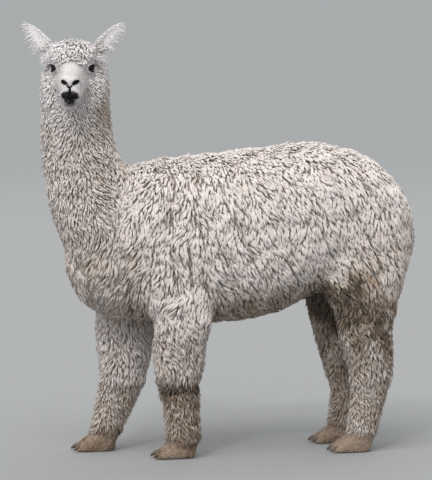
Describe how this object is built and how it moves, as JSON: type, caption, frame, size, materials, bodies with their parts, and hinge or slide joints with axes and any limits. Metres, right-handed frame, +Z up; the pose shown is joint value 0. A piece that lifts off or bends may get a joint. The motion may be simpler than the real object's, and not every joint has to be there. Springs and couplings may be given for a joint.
{
  "type": "standing alpaca model",
  "caption": "Life-size huacaya alpaca in full fleece, standing with one forefoot forward and its head turned to its left.",
  "frame": {"origin": "middle of the footprint of the whole animal, at the level of the soles", "axes": "+Z up; the body faces -Y and its left side is +X; the head is turned about 76 degrees from -Y towards +X"},
  "size_m": [0.483, 1.2682, 1.3651],
  "materials": {
    "fleece": "matte",
    "short_hair": "matte",
    "soiled_fleece": "matte",
    "eye": "gloss",
    "horn": "satin"
  },
  "bodies": {
    "root": {"foreleg_left_upper": "fleece", "foreleg_left_lower": "soiled_fleece", "foreleg_left_foot": "soiled_fleece", "foreleg_left_nail_inner": "horn", "foreleg_left_nail_outer": "horn", "foreleg_right_upper": "fleece", "foreleg_right_lower": "soiled_fleece", "foreleg_right_foot": "soiled_fleece", "foreleg_right_nail_inner": "horn", "foreleg_right_nail_outer": "horn", "hindleg_left_upper": "fleece", "hindleg_left_lower": "soiled_fleece", "hindleg_left_foot": "soiled_fleece", "hindleg_left_nail_inner": "horn", "hindleg_left_nail_outer": "horn", "hindleg_right_upper": "fleece", "hindleg_right_lower": "soiled_fleece", "hindleg_right_foot": "soiled_fleece", "hindleg_right_nail_inner": "horn", "hindleg_right_nail_outer": "horn", "trunk": "fleece", "neck": "fleece", "tail": "fleece", "head": "short_hair", "ear_left": "short_hair", "ear_right": "short_hair", "eye_left": "eye", "eye_right": "eye"}
  },
  "joints": []
}
